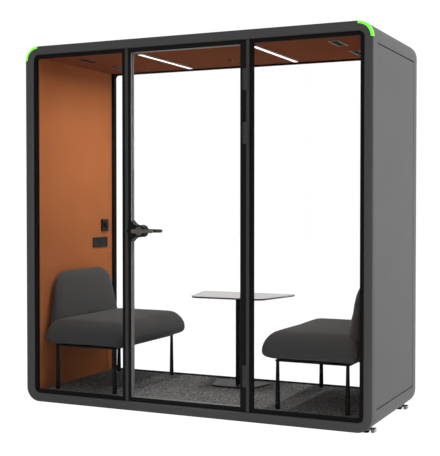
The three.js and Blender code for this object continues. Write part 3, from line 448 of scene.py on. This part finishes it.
# Hinges: three pairs of cast leaves that turn on steel pins. One leaf is on the right-hand post,
# in the post's own coat, and the other is on the door frame, in grey.
hinge_heights = ("upper", "middle", "lower")
hinge_grey = powder_coat("hinge_grey_coat", grey(0.05), (0.06, 0.06, 0.059), 0.4, fine_grain)
for height in hinge_heights:
    coat(post_paint, f"{height}_hinge_frame_leaf")
    coat(hinge_grey, f"{height}_hinge_door_leaf")
    rounded_shading(f"{height}_hinge_frame_leaf", f"{height}_hinge_door_leaf")

# Hinge screws: blackened steel with a countersunk head and a six-sided socket. Three hold each
# leaf, to the post or to the door frame.
screw_inset = 0.006
screw_rise = 0.04
screw_proud = 0.0003
post_leaf_front = -0.4653
door_leaf_front = -0.4573
screw_steel, screw_shader, screw_place = finish("blackened_screw", grey(0.045), 0.4, metallic=0.7)
screw_place.noise(900.0, detail=3.0).between(0.32, 0.48).feed(screw_shader, "Roughness")
screw_inputs = {
    "Head Radius": 0.0032,
    "Head Depth": 0.0012,
    "Socket Radius": 0.0015,
    "Finish": screw_steel,
}


def screw_tree():
    """Screw heads with a socket, one on each point, facing the front."""
    tree = bpy.data.node_groups.new("screw_heads", "GeometryNodeTree")
    face = tree.interface
    face.new_socket("Points", in_out="INPUT", socket_type="NodeSocketGeometry")
    for label in ("Head Radius", "Head Depth", "Socket Radius"):
        face.new_socket(label, in_out="INPUT", socket_type="NodeSocketFloat")
    face.new_socket("Finish", in_out="INPUT", socket_type="NodeSocketMaterial")
    face.new_socket("Screws", in_out="OUTPUT", socket_type="NodeSocketGeometry")
    start = tree.nodes.new("NodeGroupInput").outputs
    head = tree.nodes.new("GeometryNodeMeshCylinder")
    head.inputs["Vertices"].default_value = 20
    socket = tree.nodes.new("GeometryNodeMeshCylinder")
    socket.inputs["Vertices"].default_value = 6
    half = tree.nodes.new("ShaderNodeMath")
    half.operation = "MULTIPLY"
    half.inputs[1].default_value = 0.5
    lift = tree.nodes.new("ShaderNodeCombineXYZ")
    raised = tree.nodes.new("GeometryNodeTransform")
    cut = tree.nodes.new("GeometryNodeMeshBoolean")
    cut.operation = "DIFFERENCE"
    turned = tree.nodes.new("GeometryNodeTransform")
    turned.inputs["Rotation"].default_value = (math.radians(90), 0, 0)
    spread = tree.nodes.new("GeometryNodeInstanceOnPoints")
    real = tree.nodes.new("GeometryNodeRealizeInstances")
    painted = tree.nodes.new("GeometryNodeSetMaterial")
    end = tree.nodes.new("NodeGroupOutput").inputs
    link_all(tree, (
        (start["Head Radius"], head.inputs["Radius"]),
        (start["Head Depth"], head.inputs["Depth"]),
        (start["Socket Radius"], socket.inputs["Radius"]),
        (start["Head Depth"], socket.inputs["Depth"]),
        (start["Head Depth"], half.inputs[0]),
        (half.outputs[0], lift.inputs["Z"]),
        (lift.outputs[0], raised.inputs["Translation"]),
        (socket.outputs["Mesh"], raised.inputs["Geometry"]),
        (head.outputs["Mesh"], cut.inputs["Mesh 1"]),
        (raised.outputs[0], cut.inputs["Mesh 2"]),
        (cut.outputs["Mesh"], turned.inputs["Geometry"]),
        (start["Points"], spread.inputs["Points"]),
        (turned.outputs[0], spread.inputs["Instance"]),
        (spread.outputs[0], real.inputs[0]),
        (real.outputs[0], painted.inputs["Geometry"]),
        (start["Finish"], painted.inputs["Material"]),
        (painted.outputs[0], end[0]),
    ))
    return tree


def plain_mesh(piece):
    """The mesh that a piece's modifiers make, with the modifiers taken off the piece."""
    graph = bpy.context.evaluated_depsgraph_get()
    mesh = bpy.data.meshes.new_from_object(piece.evaluated_get(graph))
    piece.modifiers.clear()
    return mesh


def screws(name, places, body):
    """Screw heads on the given places, as one plain mesh that rides on a body."""
    points = bpy.data.meshes.new(name)
    points.from_pydata(places, [], [])
    piece = bpy.data.objects.new(name, points)
    scene.collection.objects.link(piece)
    modifier = piece.modifiers.new("screw_heads", "NODES")
    modifier.node_group = screw_heads
    for item in screw_heads.interface.items_tree:
        if item.in_out == "INPUT" and item.name in screw_inputs:
            modifier[item.identifier] = screw_inputs[item.name]
    piece.data = plain_mesh(piece)
    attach(piece, body)


screw_heads = screw_tree()
post_screws = []
stile_screws = []
for height in hinge_heights:
    post_low, post_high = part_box(f"{height}_hinge_frame_leaf")
    post_x = post_high.x - screw_inset
    stile_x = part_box(f"{height}_hinge_door_leaf")[0].x + screw_inset
    middle_z = (post_low.z + post_high.z) / 2
    for rise in (-screw_rise, 0, screw_rise):
        post_screws.append((post_x, post_leaf_front - screw_proud, middle_z + rise))
        stile_screws.append((stile_x, door_leaf_front - screw_proud, middle_z + rise))
screws("post_hinge_screws", post_screws, "pod")
screws("stile_hinge_screws", stile_screws, "door")

# Lever lock: a black satin case with a bell-shaped plate on each side of the pane, let into a
# notch in the glass. A cast lever set goes through it and draws an alloy latch bolt.
black_satin = powder_coat(
    "black_satin_coat", grey(0.009), grey(0.012), 0.42, fine_grain, specular=0.06)
coat(black_satin, "lock_case")
lever_metal, lever_shader, lever_place = finish(
    "lever_bronze_grey", (0.1, 0.09, 0.08), 0.35, metallic=0.6)
lever_place.noise(300.0, detail=4.0).between(0.28, 0.43).feed(lever_shader, "Roughness")
coat(lever_metal, "lever")
rounded_shading("lever", "lock_case")
alloy, alloy_shader, alloy_place = finish("satin_aluminium", grey(0.6), 0.35, metallic=0.9)
line_values = {0: alloy_place, "Scale": (900, 3, 900)}
alloy_lines = alloy_place.node("ShaderNodeMapping", None, line_values)
alloy_lines.noise(1.0).between(0.28, 0.44).feed(alloy_shader, "Roughness")
coat(alloy, "latch_bolt")

# Ceiling lamps: aluminium channels with opal plastic covers, screwed up under the ceiling. A row of
# diodes in each lights the cover and the room below.
lamp_gap = 0.002
lamp_size = (0.026, 0.7)
lamp_power = 9.0
lamp_spread = math.radians(172)
coat(alloy, "left_lamp_channel", "right_lamp_channel")
opal, opal_shader, opal_place = finish("opal_lamp_cover", grey(0.95), 0.5)
opal_shader.inputs["Emission Strength"].default_value = 1.0
opal_spread = opal_place.noise(30.0, detail=1.0)
opal_spread.blend(grey(0.97), grey(1)).feed(opal_shader, "Emission Color")
coat(opal, "left_lamp_cover", "right_lamp_cover")
for side in ("left", "right"):
    low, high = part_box(f"{side}_lamp_cover")
    middle = (low + high) / 2
    under = (middle.x, middle.y, low.z - lamp_gap)
    lamp_light = area_light(
        f"{side}_lamp_light", under, (middle.x, middle.y, 0), lamp_size, lamp_power)
    lamp_light.spread = lamp_spread

# Lamp ends: closed aluminium blocks pushed on to both ends of each channel, with the opal strip
# carried on under them. Sawn to length, with eased edges.
lamp_reach = 0.055
lamp_wall = 0.0025
strip_drop = 0.0008
seating = 0.0001
block_ease = 0.0004
strip_ease = 0.0002


def lamp_end_piece(name, boxes, ease, material):
    """Blocks with eased edges, as one piece that is fixed to the pod."""
    work = bmesh.new()
    for low, high in boxes:
        place = Matrix.LocRotScale((low + high) / 2, None, high - low)
        bmesh.ops.create_cube(work, size=1, matrix=place)
    bmesh.ops.bevel(
        work, geom=work.edges[:], offset=ease, segments=2, affect="EDGES", profile=0.5)
    mesh = bpy.data.meshes.new(name)
    work.to_mesh(mesh)
    work.free()
    mesh.materials.append(material)
    piece = bpy.data.objects.new(name, mesh)
    scene.collection.objects.link(piece)
    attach(piece, "pod")


for side in ("left", "right"):
    low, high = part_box(f"{side}_lamp_channel")
    near, far = low.y - lamp_reach, high.y + lamp_reach
    block_runs = ((near, low.y - seating), (high.y + seating, far))
    blocks = [(Vector((low.x, start, low.z)), Vector((high.x, end, high.z)))
              for start, end in block_runs]
    lamp_end_piece(f"{side}_lamp_ends", blocks, block_ease, alloy)
    strip_runs = ((near + lamp_wall, low.y + lamp_wall), (high.y - lamp_wall, far - lamp_wall))
    strip_left, strip_right = low.x + lamp_wall, high.x - lamp_wall
    strip_low, strip_high = low.z - strip_drop, low.z - seating
    strips = [(Vector((strip_left, start, strip_low)), Vector((strip_right, end, strip_high)))
              for start, end in strip_runs]
    lamp_end_piece(f"{side}_lamp_end_strips", strips, strip_ease, opal)

# Ceiling vents: slotted steel grilles let into the ceiling, coated brown like the felt round them.
# Above the ceiling face they are painted near black, as painted shade inside the slots.
vent_gap = 0.0005
vent_coat, vent_shader, vent_place = finish("vent_coat", (0.1, 0.06, 0.045), 0.5, specular=0.15)
# Near black above the ceiling face: painted shade inside the slots.
vent_slot_shade = vent_place.along("Z").above(ceiling_face - vent_gap)
vent_slot_shade.blend((0.13, 0.075, 0.055), grey(0.006)).feed(vent_shader, "Base Color")
vent_place.noise(700.0, detail=3.0).between(0.35, 0.47).feed(vent_shader, "Roughness")
coat(vent_coat, "front_left_vent", "front_right_vent", "rear_left_vent", "rear_right_vent")

# Control box, knob, socket plate, mains inlet and fan rotors: moulded black plastic with a fine
# spark texture, clipped into the left wall and the roof.
spark_grain = 2500.0
moulded, moulded_shader, moulded_place = finish(
    "moulded_black_plastic", grey(0.02), 0.5, specular=0.1)
spark = moulded_place.noise(spark_grain, detail=3.0)
spark.between(0.42, 0.58).feed(moulded_shader, "Roughness")
spark.blend(grey(0.01), grey(0.015)).feed(moulded_shader, "Base Color")
spark.bump(strength=0.3, distance=0.0002).feed(moulded_shader, "Normal")
coat(moulded, "control_box", "control_knob", "socket_plate", "power_inlet")
coat(moulded, "left_fan_rotor", "right_fan_rotor")

# Presence sensor: a dark lens in a flange coloured like the ceiling felt, partly painted shade in
# its darkened brown. Moulded plastic, pushed up into the ceiling board.
lens_radius = 0.011
sensor_low, sensor_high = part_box("presence_sensor")
sensor_coat, sensor_shader, sensor_place = finish(
    "presence_sensor_coat", grey(0.02), 0.5, specular=0.1)
lens_values = {0: sensor_place, 1: (sensor_low + sensor_high) / 2}
lens_reach = sensor_place.node(
    "ShaderNodeVectorMath", {"operation": "DISTANCE"}, lens_values, "Value")
flange = lens_reach.above(lens_radius)
# The flange's hue is the felt's own, and its dark brown is the ceiling felt's painted shade.
flange.blend(grey(0.012), (0.17, 0.05, 0.018)).feed(sensor_shader, "Base Color")
sensor_spark = sensor_place.noise(spark_grain, detail=3.0)
sensor_spark.between(0.42, 0.58).feed(sensor_shader, "Roughness")
coat(sensor_coat, "presence_sensor")

# Bench frames: steel pans with turned legs and two bars up the back, welded and sprayed in the
# black satin of the lock.
coat(black_satin, "left_bench_frame", "right_bench_frame")
rounded_shading("left_bench_frame", "right_bench_frame")

# Bench upholstery: foam seats and backs on the frames, in a charcoal wool weave. The covers are
# drawn over the foam and swell between their edges.
thread = 2200.0
seat_corner = 0.125
sink_band = 0.1
cushion_weld = 0.0001
cloth_pressure = 4
cloth_steps = 20
smoothing_turns = 6
wool, wool_shader, wool_place = finish("charcoal_wool", (0.06, 0.058, 0.056), 0.95, specular=0.1)
wool_shader.inputs["Sheen Weight"].default_value = 0.12
threads = [thread * wool_place.along(axis) for axis in "XYZ"]
wave_x, wave_y, wave_z = (run.math("SINE", run) for run in threads)
weave = wave_x * wave_y + wave_y * wave_z + wave_z * wave_x
melange = wool_place.noise(600.0, detail=5.0, roughness=0.7)
wool_colour = melange.blend((0.042, 0.0417, 0.0413), (0.096, 0.0953, 0.0942))
wool_colour.feed(wool_shader, "Base Color")
(0.08 * weave + 0.5 * melange).bump(strength=0.3, distance=0.0005).feed(wool_shader, "Normal")


def fuller_corner(reach_x, reach_y, wide, tight):
    """How far a plan corner of a wide radius grows, in one direction, to have a tight radius."""
    length = math.hypot(reach_x, reach_y)
    toward_x, toward_y = reach_x / length, reach_y / length
    straight = wide - tight
    if wide * min(toward_x, toward_y) <= straight * max(toward_x, toward_y):
        return 1 / max(toward_x, toward_y)
    along = straight * (toward_x + toward_y)
    return (along + math.sqrt(along ** 2 - 2 * straight ** 2 + tight ** 2)) / wide


def square_up(work, low, high, wide, tight):
    """Fills out the plan corners of a seat, inside the seat's own box."""
    middle = (low + high) / 2
    for vertex in work.verts:
        side_x = 1 if vertex.co.x > middle.x else -1
        side_y = 1 if vertex.co.y > middle.y else -1
        heart_x = middle.x + side_x * ((high.x - low.x) / 2 - wide)
        heart_y = middle.y + side_y * ((high.y - low.y) / 2 - wide)
        reach_x = (vertex.co.x - heart_x) * side_x
        reach_y = (vertex.co.y - heart_y) * side_y
        if reach_x > 0 and reach_y > 0:
            growth = fuller_corner(reach_x, reach_y, wide, tight)
            vertex.co.x = heart_x + side_x * reach_x * growth
            vertex.co.y = heart_y + side_y * reach_y * growth


def foam(node, shrink, tight, sink):
    """The CAD cushion's form, drawn in to leave room for the swell. A seat gets tight plan corners,
    and a back is drawn down at its foot to sit behind the seat."""
    low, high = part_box(node)
    mesh = nodes[node].data.copy()
    work = bmesh.new()
    work.from_mesh(mesh)
    bmesh.ops.remove_doubles(work, verts=work.verts, dist=cushion_weld)
    bmesh.ops.recalc_face_normals(work, faces=work.faces)
    if tight:
        square_up(work, low, high, seat_corner, tight)
    for vertex in work.verts:
        if vertex.co.z < low.z + sink_band:
            vertex.co.z -= sink * (low.z + sink_band - vertex.co.z) / sink_band
    for vertex in work.verts:
        vertex.normal_update()
    places = {vertex: vertex.co - vertex.normal * shrink for vertex in work.verts}
    for vertex, place in places.items():
        vertex.co = place
    work.to_mesh(mesh)
    work.free()
    return mesh


def blown_cover(mesh, voxel, swell):
    """An even cover over the foam, blown up as cloth. No point moves further than the swell."""
    piece = bpy.data.objects.new("cushion_work", mesh)
    scene.collection.objects.link(piece)
    remesh = piece.modifiers.new("remesh", "REMESH")
    remesh.mode = "VOXEL"
    remesh.voxel_size = voxel
    cover = plain_mesh(piece)
    piece.data = cover
    origins = [vertex.co.copy() for vertex in cover.vertices]
    cloth = piece.modifiers.new("cloth", "CLOTH")
    cloth.settings.use_pressure = True
    cloth.settings.uniform_pressure_force = cloth_pressure
    cloth.settings.effector_weights.gravity = 0
    for step in range(1, cloth_steps + 1):
        scene.frame_set(step)
    cover = plain_mesh(piece)
    for vertex, origin in zip(cover.vertices, origins):
        move = vertex.co - origin
        if move.length > swell:
            vertex.co = origin + move * (swell / move.length)
    scene.frame_set(1)
    bpy.data.objects.remove(piece)
    return cover


def stretch_to_box(places, low, high):
    """Stretches points on each axis until they fill a box."""
    for axis in range(3):
        least = min(place[axis] for place in places)
        most = max(place[axis] for place in places)
        stretch = (high[axis] - low[axis]) / (most - least)
        for place in places:
            place[axis] = low[axis] + (place[axis] - least) * stretch


def cushion_mesh(node, shrink, voxel, swell, tight=None, sink=0.0):
    """A covered cushion for a CAD cushion. One with tight corners fills the CAD cushion's box."""
    cover = blown_cover(foam(node, shrink, tight, sink), voxel, swell)
    work = bmesh.new()
    work.from_mesh(cover)
    for turn in range(smoothing_turns):
        bmesh.ops.smooth_vert(
            work, verts=work.verts, factor=0.5,
            use_axis_x=True, use_axis_y=True, use_axis_z=True)
    for face in work.faces:
        face.smooth = True
    if tight:
        stretch_to_box([vertex.co for vertex in work.verts], *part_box(node))
    work.to_mesh(cover)
    work.free()
    return cover


def upholster(name, mesh, node):
    """A cushion in wool, fixed to the pod, that stands for a CAD cushion."""
    piece = bpy.data.objects.new(name, mesh)
    scene.collection.objects.link(piece)
    mesh.materials.clear()
    mesh.materials.append(wool)
    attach(piece, "pod")
    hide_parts(node)


def mirrored(mesh):
    """The same cushion for the other side, with its faces turned outwards again."""
    other = mesh.copy()
    other.transform(Matrix.Scale(-1, 4, (1, 0, 0)))
    other.flip_normals()
    return other


seat_mesh = cushion_mesh("left_seat_cushion", shrink=0.006, voxel=0.009, swell=0.012, tight=0.02)
back_mesh = cushion_mesh("left_back_cushion", shrink=0.005, voxel=0.008, swell=0.010, sink=0.025)
upholster("left_seat", seat_mesh, "left_seat_cushion")
upholster("left_back", back_mesh, "left_back_cushion")
upholster("right_seat", mirrored(seat_mesh), "right_seat_cushion")
upholster("right_back", mirrored(back_mesh), "right_back_cushion")

# Table: a thin white laminate top, screwed to a pedestal of welded steel in the black satin of the
# bench frames. The undercut edge and underside of the top are painted dark grey as painted shade.
edge_ease = 0.0012
laminate, laminate_shader, laminate_place = finish(
    "white_laminate", (0.76, 0.75, 0.74), 0.35, specular=0.4)
haze = laminate_place.noise(90.0, detail=4.0)
haze.between(0.3, 0.4).feed(laminate_shader, "Roughness")
# Dark grey below the top face: painted shade on the undercut edge and underside.
painted_shade_under_top = laminate_place.along("Z").below(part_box("table_top")[1].z - edge_ease)
laminate_white = haze.blend((0.42, 0.415, 0.41), (0.46, 0.455, 0.45))
painted_shade_under_top.blend(laminate_white, grey(0.05)).feed(laminate_shader, "Base Color")
coat(laminate, "table_top")
coat(black_satin, "table_stand")
rounded_shading("table_top", "table_stand")
